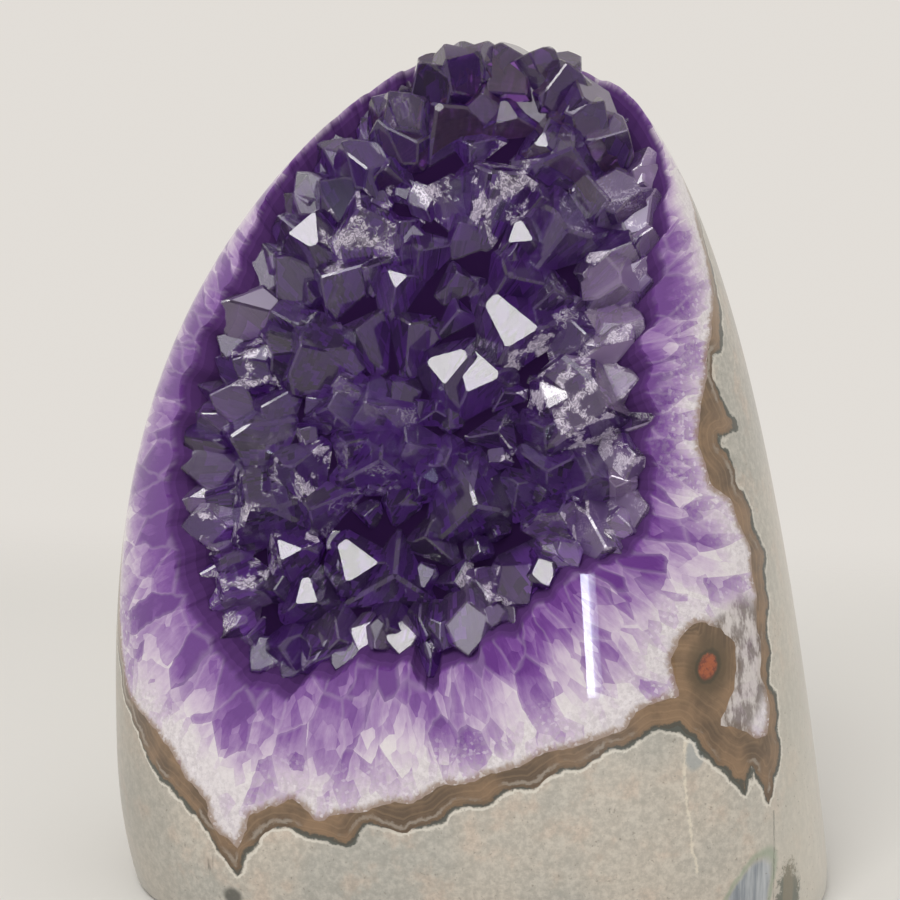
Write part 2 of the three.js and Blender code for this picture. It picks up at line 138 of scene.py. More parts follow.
# Points that show best: bearing, height, width across, depth of the tip below the polish (above
# it where negative, and then ground flush) and, for a mirror-bright one, of its bright face.
POINTS = (
    (-93, 147, 7.7, -1), (-125, 145, 7.2, -1), (-75, 148, 7.2, -1), (-56, 147, 7.1, 0),
    (-41, 145, 7.8, -1), (-127, 141, 6.8, -1), (-97, 139, 14.8, 1, 3.5), (-78, 142, 8.1, 3),
    (-70, 139, 7.7, 3, 2.5), (-63, 135, 9.3, 2, 2.5), (-46, 140, 9.4, 0), (-32, 140, 6.8, -2),
    (-76, 129, 13.9, 1), (-93, 128, 8.9, 3), (-114, 123, 14.3, -1), (-55, 131, 14.2, 1),
    (-49, 125, 9.9, 2), (-31, 135, 7.1, -2), (-38, 125, 6.7, -2), (-60, 119, 14.4, 1),
    (-73, 119, 7.9, 3.5, 2.8), (-85, 121, 7.6, 4), (-93, 116, 7.2, 3), (-74, 112, 10.8, 3),
    (-65, 110, 9.8, 3), (-98, 112, 7.5, 3.5, 2.2), (-51, 110, 8.8, 1), (-52, 101, 8.5, 0),
    (-129, 119, 9.1, 1.5, 3), (-133, 114, 7.7, 2), (-117, 112, 9.9, 3), (-108, 113, 8.2, 4),
    (-122, 99, 9.3, 2), (-115, 100, 10.2, 1), (-131, 97, 6.7, 0), (-139, 105, 8.5, -1),
    (-127, 83, 12, 2), (-113, 81, 9.2, 3), (-110, 90, 9.2, 4), (-73, 102, 13.3, 1, 4.5),
    (-88, 98, 8.8, 2.5, 3.5), (-82, 95, 9.4, 2.5, 4), (-68, 93, 7.4, 3.5, 2.6),
    (-70, 87, 8.4, 4), (-70, 81, 8.4, 4), (-78, 87, 7.4, 5), (-58, 89, 13.6, -1),
    (-54, 83, 8.7, 0), (-82, 73, 14.9, 2), (-119, 72, 14.5, 1), (-109, 73, 9.5, 4),
    (-114, 67, 7.2, 2.5, 2.5), (-95, 63, 15.6, 2), (-101, 66, 8, 2.5, 4), (-109, 59, 8.8, 3, 2.5),
    (-123, 58, 11, 1), (-103, 52, 8.5, 2), (-113, 50, 7.2, 1), (-61, 69, 9.7, 0),
    (-79, 59, 8.1, 2), (-130, 67, 8.1, 3), (-131, 74, 7.7, 3), (-99, 81, 11.7, 3),
    (-102, 91, 9.5, 4), (-96, 104, 9.1, 4), (-106, 104, 9.5, 4), (-85, 107, 9.4, 5),
    (-85, 114, 7.2, 5), (-60, 103, 8.8, 3), (-60, 97, 7.5, 4), (-62, 80, 9, 3), (-68, 73, 9.3, 3),
    (-72, 66, 8.1, 3), (-86, 62, 7.8, 5), (-94, 86, 8.1, 5), (-87, 82, 8.4, 5), (-90, 90, 6.8, 6),
    (-109, 96, 7.2, 5), (-122, 90, 8.3, 4), (-135, 91, 7.1, 1), (-129, 106, 8.4, 3),
    (-143, 113, 6.8, 0), (-132, 127, 7.8, 1), (-136, 133, 7.8, 0), (-125, 137, 7.8, 1),
    (-109, 130, 7.7, 3), (-82, 135, 7.6, 4), (-45, 118, 7.9, 1), (-47, 76, 8.2, -1),
    (-53, 75, 8.8, 0), (-96, 54, 8.8, 2), (-89, 53, 7.5, 3), (-106, 84, 8.5, 5),
    (-115, 60, 7.2, 4), (-119, 52, 8.6, 2), (-125, 64, 7.3, 3), (-105, 64, 7.5, 5),
    (-77, 93, 7.1, 6), (-50, 89, 6.5, 0), (-66, 126, 7.2, 4), (-102, 122, 7.3, 4),
    (-82, 101, 6.5, 6), (-90, 70, 7.5, 5), (-74, 79, 7.4, 5), (-160, 132, 7.3, -1),
    (-154, 124, 7, 0), (-136, 83, 6.4, 0), (-107, 51, 7.2, 1), (-66, 62, 6.4, 0),
    (-84, 55, 6.5, 2), (-150, 141, 8, 0), (170, 146.5, 8, 0), (110, 148.6, 8, 0),
    (60, 148.4, 8, 0), (15, 146.5, 8, 0),
)
# Seeded points: how far out towards the lip they stand, their widths, the depths of their tips,
# how closely they crowd the others, and how many places are tried.
SEEDED = (
    ((0.92, 0.99), (9.0, 12.5), (0.5, 2.2), 0.60, 1200),
    ((0.80, 0.93), (8.0, 11.0), (1.5, 4.0), 0.70, 900),
    ((0.95, 0.998), (5.5, 8.5), (0.8, 3.0), 0.52, 2000),
    ((0.0, 0.97), (6.5, 9.0), (4.5, 7.0), 0.84, 1500),
    ((0.0, 0.98), (4.5, 6.0), (7.0, 9.0), 0.66, 1200),
)
# The listed widths are what shows between neighbours; the whole points are wider, big ones most.
WIDER = 1.28
WIDER_BY_WIDTH = 0.022
# Points wider than the middling ones stand higher by this share of the difference.
MIDDLING = 8.5
RAISED = 0.28
LEAST_SUNK = 0.3
# Above TOP_FROM the tips stay at least this far below the polish, each by its own share of the
# spread, and between the crown's two heights they rise again, so that they make the outline.
TOP_FROM = 118.0
TOP_SUNK = -0.3
TOP_SPREAD = 1.2
TOP_RISE = 2.2
CROWN_FROM = 139.0
CROWN_TO = 147.0
GOLDEN = 0.618
# A socket is smaller than its point by this lap in mm, and this deep in the polished rim.
SOCKET_LAP = 0.15
FLUSH_DEPTH = 4.5
# How purple the quartz grows over the first SINK_WITHIN mm below the polish, and the painted shade on the
# hollow's bare wall: how bright it is at its lip, and the depth in mm at which it is painted dark.
SINK_PURPLE = 0.6
SINK_WITHIN = 1.5
PAINTED_SHADE_WALL_TONE = 0.3
PAINTED_SHADE_WALL_DEPTH = 9.0
# Facets are told apart by their direction on this grid, and differ in purple by this much.
FACET_GRID = 6.0
FACET_SPREAD = 0.6
# How bright the floor of a socket is: a throw in this range, to this power.
TONE_THROW = (0.1, 1.0)
TONE_POWER = 1.5
# How purple a point is: its start, what it gains for each DEEPER_OVER mm from the lip, what it
# loses where points are palest, its throw, and its least and most.
PURPLE_START = 0.6
DEEPER_OVER = 14.0
PALE_LOSS = 0.6
PURPLE_THROW = (-0.35, 0.3)
PURPLE_RANGE = (0.1, 0.9)
# Points are paler from this x over the next PALE_OVER mm, and by a throw in this range.
PALE_FROM = 15.0
PALE_OVER = 25.0
PALE_THROW = (0.25, 1.0)
# How milky a point is: a throw to this power, and another where points are pale.
VEIL_THROW = (0.0, 0.8)
VEIL_POWER = 4
VEIL_PALE_THROW = (-0.3, 0.6)
# The milky, veined points, by bearing and height.
VEILED = (
    (-114, 123), (-93, 128), (-119, 72), (-58, 89), (-78, 87), (-130, 97), (-54, 83), (-123, 58),
    (-76, 129), (-61, 69), (-79, 59), (-113, 81), (-52, 101), (-130, 67), (-44, 118),
)
# A quartz point: the tilt of its end faces, how far one may be set back, its length and the
# radius of its six-sided body in widths, and how many different ones there are.
FACE_TILT = math.radians(51.8)
MOST_SET_BACK = 0.12
ROOT_WIDTHS = 1.5
BODY_RADIUS = 0.53
HABITS = 7
# Points lean towards the hollow's middle, most at the lip, and stray a little from that.
HOLLOW_MIDDLE = dict(x=-6.0, z=92.0, across=50.0, up=56.0)
LEAN_AT_LIP = 0.3
STRAY = 0.16
BRIGHT_FACE = dict(bearing=-92.0, rise=31.0)
SMOOTH_BELOW = math.radians(30.0)

# Marks on the front, in mm across and up: an oval's middle and radii, or a line's places. They
# fade out over the depths of FRONT_FADE.
KNOB = ((42.9, 48.3), (4.9, 7.0))
GREY_QUARTZ = ((47.5, 47.0), (5.5, 12.0))
SMEAR = ((40.9, 34.6), (1.6, 3.4))
BLUE_PATCH = ((50.6, 6.0), (3.9, 9.5))
BLUE_PATCH_LEAN = -0.35
BLUE_PATCH_LEAN_FROM = 9.0
DARK_PATCH = ((57.0, 5.0), (2.4, 9.0))
STAIN = ((-35.8, 6.8), (2.2, 2.2))
WORN = ((-42.4, 13.0), (4.5, 5.5))
VEIN = ((39.2, 37.5), (39.9, 28.0), (41.6, 14.5))
SPLIT = ((54.3, 22.0), (54.8, 0.0))
FRONT_FADE = (-5.0, -15.0)

# Colours of the marks, and of the painted shade and light on the basalt. A pair is the two ends of a blend.
CHALK = (0.72, 0.68, 0.60)
# Painted shade on the basalt: its right edge darker, in streaks and most higher up, and its left side
# darker.
PAINTED_SHADE_STREAKS = (0.27, 0.27, 0.22)
PAINTED_SHADE_HIGH = (0.24, 0.25, 0.20)
PAINTED_SHADE_LEFT = (0.27, 0.25, 0.21)
# Painted light: the basalt's front right lighter.
PAINTED_LIGHT_RIGHT = (0.70, 0.67, 0.60)
VEIN_CREAM = (0.78, 0.72, 0.60)
SMEAR_GREY = (0.34, 0.37, 0.38)
PATCH_BLUES = ((0.20, 0.23, 0.27), (0.50, 0.53, 0.56))
PATCH_RIM = (0.22, 0.32, 0.22)
PATCH_DARKS = ((0.06, 0.08, 0.06), (0.16, 0.14, 0.09))
SOOT = (0.06, 0.06, 0.05)
SCRATCHED = (0.10, 0.09, 0.08)
SPECK = (0.20, 0.18, 0.15)
CONTACT_PALE = (0.76, 0.73, 0.66)
CONTACT_DARK = (0.05, 0.06, 0.05)
AGATE_GRAIN = (0.10, 0.05, 0.025)
AGATE_CONTACT = (0.05, 0.055, 0.045)
AGATE_CLEAR = (0.42, 0.38, 0.33)
KNOB_BROWNS = ((0.095, 0.062, 0.03), (0.055, 0.042, 0.02))
JASPER_REDS = ((0.36, 0.09, 0.03), (0.17, 0.04, 0.02))
QUARTZ_SUGAR = (0.46, 0.42, 0.47)
# White crumbs: partly white grains of quartz, partly painted sparkle.
QUARTZ_CRUMB_AND_SPARKLE = (0.93, 0.90, 0.96)
QUARTZ_GREYS = ((0.16, 0.13, 0.11), (0.62, 0.58, 0.57))

# The camera's lengths are in mm, and those of the lamps, the card and the floor in metres. Bearings
# and rises are in degrees. A lamp that doesn't shine on rough surfaces shows only as highlights.
CAMERA = dict(bearing=-82.0, rise=10.0, distance=380.0, target=(-4.2, 0.0, 77.5), lens=85.0,
              sensor=36.0, nearest=10.0)
LAMPS = (
    dict(name="window", bearing=-105.0, rise=51.0, distance=0.9, size=(0.32, 0.32), power=2.7,
         colour=(1.0, 0.98, 0.95), shines=True),
    dict(name="sheen", bearing=-110.0, rise=48.0, distance=1.0, size=(1.3, 0.9), power=9.0,
         colour=(0.96, 0.98, 1.0), shines=False),
    dict(name="glint", bearing=-70.0, rise=-1.0, distance=0.7, size=(0.03, 0.14), power=0.35,
         colour=(0.80, 0.88, 1.0), shines=False),
)
CARD = dict(bearing=-82.0, rise=2.0, distance=0.9, size=(1.5, 0.9))
CARD_BLACK = (0.01, 0.01, 0.012)
FLOOR_SIZE = 6.0
FLOOR_PALE = (0.76, 0.76, 0.75)
FLOOR_FADE = (0.16, 0.30)
ROOM_COLOUR = (0.80, 0.765, 0.72, 1.0)
ROOM_STRENGTH = 0.95


def reach_at(side, z):
    """How far the outside lies from the upright axis on one side at heights in mm."""
    s = REACH[side]
    climb = np.clip((z - s["z"]) / (HEIGHT - s["z"]), 0.0, 1.0)
    dip = np.clip((s["z"] - z) / s["z"], 0.0, 1.0)
    above = s["most"] * (1.0 - climb ** s["fall"]) ** (1.0 / s["round"])
    return np.where(z >= s["z"], above, s["most"] - s["foot"] * dip ** s["foot_fall"])


def on_dome(bearing, z):
    """Points on the stone's outside, in mm, at bearings in degrees and heights in mm."""
    bearing, z = np.broadcast_arrays(np.asarray(bearing, float), np.asarray(z, float))
    cos, sin = np.cos(np.radians(bearing)), np.sin(np.radians(bearing))
    power = np.where(sin >= 0, SQUARE_BACK, SQUARE_FRONT)
    stretch = (np.abs(cos) ** power + np.abs(sin) ** power) ** (-1.0 / power)
    across = np.where(cos >= 0, reach_at("right", z), reach_at("left", z))
    deep = np.where(sin >= 0, reach_at("back", z), reach_at("front", z))
    return np.stack([APEX[0] + across * cos * stretch, APEX[1] + deep * sin * stretch, z], -1)


def cast_out(points):
    """Where the lines from the stone's heart through the points meet its outside, in mm."""
    heart = np.array(HEART)
    way = unit(points - heart)
    near, far = np.zeros(len(points)), np.full(len(points), 2.0 * HEIGHT)
    for _ in range(HALVINGS):
        middle = (near + far) / 2.0
        at = heart + way * middle[:, None]
        dx, dy = at[:, 0] - APEX[0], at[:, 1] - APEX[1]
        z = np.clip(at[:, 2], 0.0, HEIGHT - 1e-6)
        across = np.where(dx >= 0, reach_at("right", z), reach_at("left", z))
        deep = np.where(dy >= 0, reach_at("back", z), reach_at("front", z))
        power = np.where(dy >= 0, SQUARE_BACK, SQUARE_FRONT)
        held = ((np.abs(dx) / across) ** power + (np.abs(dy) / deep) ** power < 1.0) & (at[:, 2] < HEIGHT)
        near, far = np.where(held, middle, near), np.where(held, far, middle)
    return heart + way * near[:, None], way


def below_polish(points):
    """How far in mm each point lies under the polished outside."""
    return np.linalg.norm(cast_out(points)[0] - points, axis=1)


def unit(v):
    return v / np.maximum(np.linalg.norm(v, axis=-1, keepdims=True), 1e-9)


def direction(bearing, rise):
    """The way out from the stone at a bearing and a rise in degrees."""
    turn, climb = math.radians(bearing), math.radians(rise)
    return Vector((math.cos(turn) * math.cos(climb), math.sin(turn) * math.cos(climb), math.sin(climb)))


def dome_normal(bearing, z):
    step = 0.5
    here = on_dome(bearing, z)
    aside = on_dome(np.asarray(bearing) + step, z) - here
    up = here - on_dome(bearing, np.asarray(z) - step)
    return unit(np.cross(aside, up))


def even_loop(points, count):
    """Evenly spaced bearings and heights along a closed run of given ones, and its length."""
    line = np.asarray(points, float)
    line[1:, 0] -= 360.0 * np.cumsum(np.round(np.diff(line[:, 0]) / 360.0))
    turns = round((line[-1, 0] - line[0, 0]) / 360.0)
    line = np.vstack([line, line[:1] + [[360.0 * turns, 0.0]]])
    gaps = np.linalg.norm(np.diff(on_dome(line[:, 0], line[:, 1]), axis=0), axis=1)
    at = np.concatenate([[0.0], np.cumsum(gaps)])
    even = np.linspace(0.0, at[-1], count, endpoint=False)
    return np.interp(even, at, line[:, 0]), np.interp(even, at, line[:, 1]), at[-1]


def waver(count, length, periods, seed):
    """A closed run of bumps between about -1 and 1 along a border, the same each time."""
    dice = np.random.default_rng(seed)
    along = np.arange(count) / count
    total = np.zeros(count)
    for period in periods:
        turns = max(1, round(length / period))
        for part in (turns, turns + 1 + dice.integers(1, 4)):
            swing = dice.uniform(0.5, 1.0) * period / periods[0]
            total += swing * np.sin(2.0 * math.pi * (part * along + dice.uniform()))
    return total


def border(name, count=BOWL_COLUMNS):
    """A bowl's border on the stone's outside, its outward normals and its length, in mm."""
    bowl = BOWLS[name]
    bearing, height, length = even_loop(bowl["edge"], count)
    place = on_dome(bearing, height)
    outward = dome_normal(bearing, height)
    along = unit(np.roll(place, -1, 0) - np.roll(place, 1, 0))
    inward = unit(np.cross(outward, along))
    bump = bowl["wave"] * waver(count, length, WAVE_PERIODS, bowl["seed"])
    return place + inward * bump[:, None], outward, length


def ball(name, columns, rows, place):
    """A closed ball of the given columns and rows: a fine grid wrapped round and welded."""
    bpy.ops.object.select_all(action="DESELECT")
    bpy.ops.mesh.primitive_grid_add(x_subdivisions=columns, y_subdivisions=rows, size=2.0, calc_uvs=False)
    obj = bpy.context.object
    obj.name = name
    mesh = obj.data
    co = np.empty(len(mesh.vertices) * 3)
    mesh.vertices.foreach_get("co", co)
    co = co.reshape(-1, 3)
    column = np.rint((co[:, 0] + 1.0) / 2.0 * columns).astype(int) % columns
    row = np.rint((co[:, 1] + 1.0) / 2.0 * rows).astype(int)
    mesh.vertices.foreach_set("co", (place(column, row) * MM).ravel())
    mesh.update()
    bpy.ops.object.mode_set(mode="EDIT")
    bpy.ops.mesh.select_all(action="SELECT")
    bpy.ops.mesh.remove_doubles(threshold=WELD * MM)
    bpy.ops.object.mode_set(mode="OBJECT")
    return obj


def dome(name, inset=0.0):
    """The whole polished stone, flat below, drawn in all round by an inset in mm."""
    rings = [(share, 0.0) for share in BASE_RINGS] + list(BASE_EDGE)
    sides = DOME_ROWS - len(rings) + 1
    low = BASE_EDGE[-1][1]
    climb = np.linspace(0.0, 1.0, sides + 1)[1:]
    heights = low + (HEIGHT - low) * np.sin(climb * math.pi / 2.0) ** DOME_CLIMB
    share = np.array([s for s, _ in rings] + [1.0] * sides)
    level = np.array([z for _, z in rings] + list(heights))

    def place(column, row):
        bearing = column * 360.0 / DOME_COLUMNS
        z = level[row]
        point = on_dome(bearing, z)
        middle = np.stack([np.full(len(z), APEX[0]), np.full(len(z), APEX[1]), z], -1)
        point = middle + (point - middle) * share[row][:, None]
        return point - inset * unit(point - np.array(DOME_HEART))

    return ball(name, DOME_COLUMNS, DOME_ROWS, place)


def bowl(name):
    """The closed bowl behind one of the borders, flared out in front of the stone."""
    spec = BOWLS[name]
    edge, outward, _ = border(name)
    window = int(spec["calm"] * BOWL_COLUMNS / 2)
    padded = np.concatenate([edge[-window:], edge, edge[:window]])
    total = np.cumsum(np.vstack([np.zeros(3), padded]), axis=0)
    calm = (total[2 * window:] - total[:-2 * window])[:BOWL_COLUMNS] / (2 * window)
    floor = np.array(spec["floor"])
    front = floor + (edge - floor) * FLARE_SCALE
    front[:, 1] = FLARE_FRONT
    flare = edge + outward * FLARE

    def place(column, row):
        turn = np.clip(row / BOWL_ROWS, 0.0, 1.0) * math.pi / 2.0
        keep = (np.sin(turn) ** DETAIL_FADE)[:, None]
        side = calm[column] * (1.0 - keep) + edge[column] * keep
        aside = np.sin(turn)[:, None]
        if "depth" in spec:
            point, way = cast_out(floor + (side - floor) * aside)
            point -= way * spec["depth"] * np.sqrt(1.0 - aside ** HOLLOW_STEEP)
        else:
            rise = (1.0 - np.cos(turn))[:, None]
            point = floor + (side - floor) * np.concatenate([aside, rise, aside], axis=1)
        point = np.where((row == BOWL_ROWS + 1)[:, None], (edge[column] + flare[column]) / 2, point)
        point = np.where((row == BOWL_ROWS + 2)[:, None], flare[column], point)
        point = np.where((row == BOWL_ROWS + 3)[:, None], front[column], point)
        pole = np.array([floor[0], FRONT_POLE, floor[2]])
        return np.where((row == BOWL_ROWS + FLARE_ROWS)[:, None], pole, point)

    return ball("bowl_" + name, BOWL_COLUMNS, BOWL_ROWS + FLARE_ROWS, place)


def shape_by(obj, tool, how):
    """Cuts or joins one closed mesh by another, which is used up."""
    step = obj.modifiers.new("shape", "BOOLEAN")
    step.solver = "MANIFOLD"
    step.operation = how
    step.object = tool
    with bpy.context.temp_override(object=obj, active_object=obj):
        bpy.ops.object.modifier_apply(modifier=step.name)
    bpy.data.objects.remove(tool, do_unlink=True)
    return obj


def attribute(obj, name, values, domain="POINT"):
    """Stores a number or a vector on every point or face for the materials to read."""
    kind = "FLOAT" if values.ndim == 1 else "FLOAT_VECTOR"
    layer = obj.data.attributes.new(name, kind, domain)
    layer.data.foreach_set("value" if kind == "FLOAT" else "vector", values.astype(np.float32).ravel())


def points_of(obj):
    co = np.empty(len(obj.data.vertices) * 3)
    obj.data.vertices.foreach_get("co", co)
    return co.reshape(-1, 3) / MM


def face_middles(obj):
    middles = np.empty(len(obj.data.polygons) * 3)
    obj.data.polygons.foreach_get("center", middles)
    return middles.reshape(-1, 3) / MM


def nearest(points, line):
    """The distance in mm from each point to a closed border."""
    steps = np.arange(FINER) / FINER
    after = np.roll(line, -1, 0)
    fine = (line[:, None] + (after - line)[:, None] * steps[:, None]).reshape(-1, 3)
    tree = KDTree(len(fine))
    for index, place in enumerate(fine):
        tree.insert(place, index)
    tree.balance()
    return np.array([tree.find(place)[2] for place in points])


class Value:
    """A shader number that ordinary sums can be written with."""

    def __init__(self, tree, socket):
        self.tree = tree
        self.socket = socket

    def maths(self, operation, *others, clamp=False):
        values = [self.socket] + [o.socket if isinstance(o, Value) else o for o in others]
        return node(self.tree, "ShaderNodeMath", values, operation=operation, use_clamp=clamp)

    def __add__(self, other):
        return self.maths("ADD", other)

    def __radd__(self, other):
        return self.maths("ADD", other)

    def __sub__(self, other):
        return self.maths("SUBTRACT", other)

    def __rsub__(self, other):
        return node(self.tree, "ShaderNodeMath", [other, self.socket], operation="SUBTRACT")

    def __mul__(self, other):
        return self.maths("MULTIPLY", other)

    def __rmul__(self, other):
        return self.maths("MULTIPLY", other)

    def __truediv__(self, other):
        return self.maths("DIVIDE", other)

    def power(self, other):
        return self.maths("POWER", other)

    def clamped(self):
        return self.maths("ADD", 0.0, clamp=True)

    def ramp(self, low, high):
        """0 below low, 1 above high and a smooth rise between."""
        return node(self.tree, "ShaderNodeMapRange", {"Value": self, "From Min": low, "From Max": high},
                    interpolation_type="SMOOTHSTEP")


def node(tree, kind, inputs=(), out=0, stops=None, **settings):
    """Adds a shader node of any kind with its settings, ramp stops and inputs, and gives an output."""
    made = tree.nodes.new(kind)
    for name, value in settings.items():
        setattr(made, name, value)
    if stops:
        ramp = made.color_ramp
        while len(ramp.elements) < len(stops):
            ramp.elements.new(0.5)
        for element, (place, colour) in zip(ramp.elements, stops):
            element.position = place
            element.color = (*colour, 1.0)
    pairs = inputs.items() if isinstance(inputs, dict) else enumerate(inputs)
    for name, value in pairs:
        socket = made.inputs[name]
        if isinstance(value, Value):
            value = value.socket
        if isinstance(value, bpy.types.NodeSocket):
            tree.links.new(value, socket)
        elif socket.type == "RGBA" and len(value) == 3:
            socket.default_value = (*value, 1.0)
        else:
            socket.default_value = value
    return Value(tree, made.outputs[out])


def mix(tree, share, first, second):
    """One colour turned into another by a share from 0 to 1."""
    made = tree.nodes.new("ShaderNodeMix")
    made.data_type = "RGBA"
    made.clamp_factor = True
    for socket, value in ((made.inputs[0], share), (made.inputs[6], first), (made.inputs[7], second)):
        if isinstance(value, Value):
            tree.links.new(value.socket, socket)
        elif socket.type == "RGBA":
            socket.default_value = (*value[:3], 1.0)
        else:
            socket.default_value = value
    return Value(tree, made.outputs[2])


def new_material(name):
    material = bpy.data.materials.new(name)
    material.use_nodes = True
    material.node_tree.nodes.clear()
    return material, material.node_tree


def close(tree, surface, volume=None):
    end = tree.nodes.new("ShaderNodeOutputMaterial")
    tree.links.new(surface.socket, end.inputs["Surface"])
    if volume:
        tree.links.new(volume.socket, end.inputs["Volume"])


def spots(tree, where, scale, detail=3.0, rough=0.55, stretch=None):
    """Cloudy noise from about 0 to 1, with its scale in spots per metre of the given coordinates."""
    if stretch:
        where = node(tree, "ShaderNodeMapping", {"Vector": where, "Scale": stretch})
    return node(tree, "ShaderNodeTexNoise", {
        "Vector": where, "Scale": scale, "Detail": detail, "Roughness": rough})


def attribute_of(tree, name, out="Fac"):
    return node(tree, "ShaderNodeAttribute", attribute_name=name, out=out)


def parts_of(tree, vector):
    parts = node(tree, "ShaderNodeSeparateXYZ", {"Vector": vector}).socket.node.outputs
    return [Value(tree, part) for part in parts]


def object_place(tree):
    """Object coordinates in metres, whole and as separate numbers in mm."""
    where = node(tree, "ShaderNodeTexCoord", out="Object")
    return where, [part * (1.0 / MM) for part in parts_of(tree, where)]


def cells(tree, where, scale):
    """A random number for each cell of a pattern of cells."""
    colour = node(tree, "ShaderNodeTexVoronoi", {"Vector": where, "Scale": scale}, out="Color")
    return node(tree, "ShaderNodeSeparateColor", {"Color": colour})


def oval(x, z, middle, radii):
    """0 in the middle of an upright oval on the front, 1 at its rim, in mm."""
    across = (x - middle[0]) / radii[0]
    rise = (z - middle[1]) / radii[1]
    return (across * across + rise * rise).power(0.5)


def stroke(x, z, start, end):
    """The distance in mm from a straight stroke on the front."""
    run = (end[0] - start[0], end[1] - start[1])
    size = run[0] ** 2 + run[1] ** 2
    share = ((x - start[0]) * (run[0] / size) + (z - start[1]) * (run[1] / size)).clamped()
    across = x - start[0] - share * run[0]
    rise = z - start[1] - share * run[1]
    return (across * across + rise * rise).power(0.5)


def basalt_material(look):
    material, tree = new_material("polished_basalt")
    where, (x, y, z) = object_place(tree)
    broad = spots(tree, where, 38.0, 4.0)
    mottle = spots(tree, where, 150.0, 5.0, 0.62)
    grain = spots(tree, where, 800.0, 6.0, 0.75)
    streak = spots(tree, where, 420.0, 4.0, 0.6, (1.0, 1.0, 0.12))
    colour = mix(tree, broad.ramp(0.38, 0.62), look.basalt_cool, look.basalt_warm)
    colour = mix(tree, mottle.ramp(0.5, 0.66) * 0.5, colour, look.basalt_pink)
    colour = mix(tree, grain.ramp(0.35, 0.7) * 0.45, colour, look.basalt_dark)
    colour = mix(tree, grain.ramp(0.55, 0.3) * 0.3, colour, CHALK)
    # Painted shade: the right edge darker, in streaks and most higher up, and the left side darker.
    side = x.ramp(50.0, 58.0)
    colour = mix(tree, side * streak.ramp(0.35, 0.65) * 0.25, colour, PAINTED_SHADE_STREAKS)
    colour = mix(tree, side * z.ramp(70.0, 110.0) * 0.35, colour, PAINTED_SHADE_HIGH)
    colour = mix(tree, x.ramp(-38.0, -60.0) * 0.45, colour, PAINTED_SHADE_LEFT)
    # Painted light: the front right lighter.
    colour = mix(tree, x.ramp(46.0, 62.0) * y.ramp(20.0, 0.0) * 0.6, colour, PAINTED_LIGHT_RIGHT)
    front = y.ramp(*FRONT_FADE)
    shake = (mottle - 0.5) * 2.6
    vein = stroke(x + shake * 0.7, z, VEIN[0], VEIN[1])
    vein_low = stroke(x + shake * 0.7, z, VEIN[1], VEIN[2])
    cream = 1.0 - (vein.maths("MINIMUM", vein_low) + (grain - 0.5) * 1.4).ramp(0.0, 0.4)
    colour = mix(tree, front * cream * 0.65, colour, VEIN_CREAM)
    grey = 1.0 - oval(x + shake, z, *SMEAR).ramp(0.7, 1.05)
    colour = mix(tree, front * grey * 0.7, colour, SMEAR_GREY)
    blue = oval(x + shake + (z - BLUE_PATCH_LEAN_FROM) * BLUE_PATCH_LEAN, z, *BLUE_PATCH)
    blues = mix(tree, streak.ramp(0.35, 0.65), *PATCH_BLUES)
    colour = mix(tree, front * (1.0 - blue.ramp(0.8, 1.0)), colour, blues)
    rim = 1.0 - (blue - 1.0).maths("ABSOLUTE").ramp(0.0, 0.16)
    colour = mix(tree, front * rim * 0.55, colour, PATCH_RIM)
    split = stroke(x + shake * 0.2, z, *SPLIT)
    dark = 1.0 - (oval(x + shake, z, *DARK_PATCH) + (grain - 0.5) * 1.6).ramp(0.6, 0.9)
    darks = mix(tree, streak.ramp(0.4, 0.6), *PATCH_DARKS)
    colour = mix(tree, front * dark * 0.8, colour, darks)
    crack = 1.0 - (split + (grain - 0.5) * 0.8).ramp(0.0, 0.2)
    colour = mix(tree, front * crack * 0.45, colour, SOOT)
    stain = 1.0 - oval(x + shake, z, *STAIN).ramp(0.5, 1.05)
    colour = mix(tree, front * stain * 0.85, colour, SOOT)
    scratch = spots(tree, where, 500.0, 3.0, 0.6, (1.0, 1.0, 0.25))
    worn = 1.0 - oval(x, z, *WORN).ramp(0.4, 1.0)
    colour = mix(tree, front * worn * scratch.ramp(0.56, 0.64) * 0.8, colour, SCRATCHED)
    edge = attribute_of(tree, "edge")
    jag = edge + (grain - 0.5) * 1.6 + (mottle - 0.5) * 2.4
    pale = (1.0 - (jag - 0.62).maths("ABSOLUTE").ramp(0.06, 0.36)) * broad.ramp(0.36, 0.5)
    colour = mix(tree, pale * 0.75, colour, CONTACT_PALE)
    colour = mix(tree, (1.0 - jag.ramp(0.08, 0.4)) * 0.92, colour, CONTACT_DARK)
    speck = spots(tree, where, 1500.0, 2.0, 0.5)
    colour = mix(tree, speck.ramp(0.66, 0.74) * 0.5, colour, SPECK)
    bump = node(tree, "ShaderNodeBump", {"Height": grain, "Distance": 0.00006, "Strength": 0.3})
    skin = node(tree, "ShaderNodeBsdfPrincipled", {
        "Base Color": colour, "Roughness": 0.44 - grain * 0.1, "Normal": bump,
        "Coat Weight": 0.3, "Coat Roughness": 0.15})
    close(tree, skin)
    return material


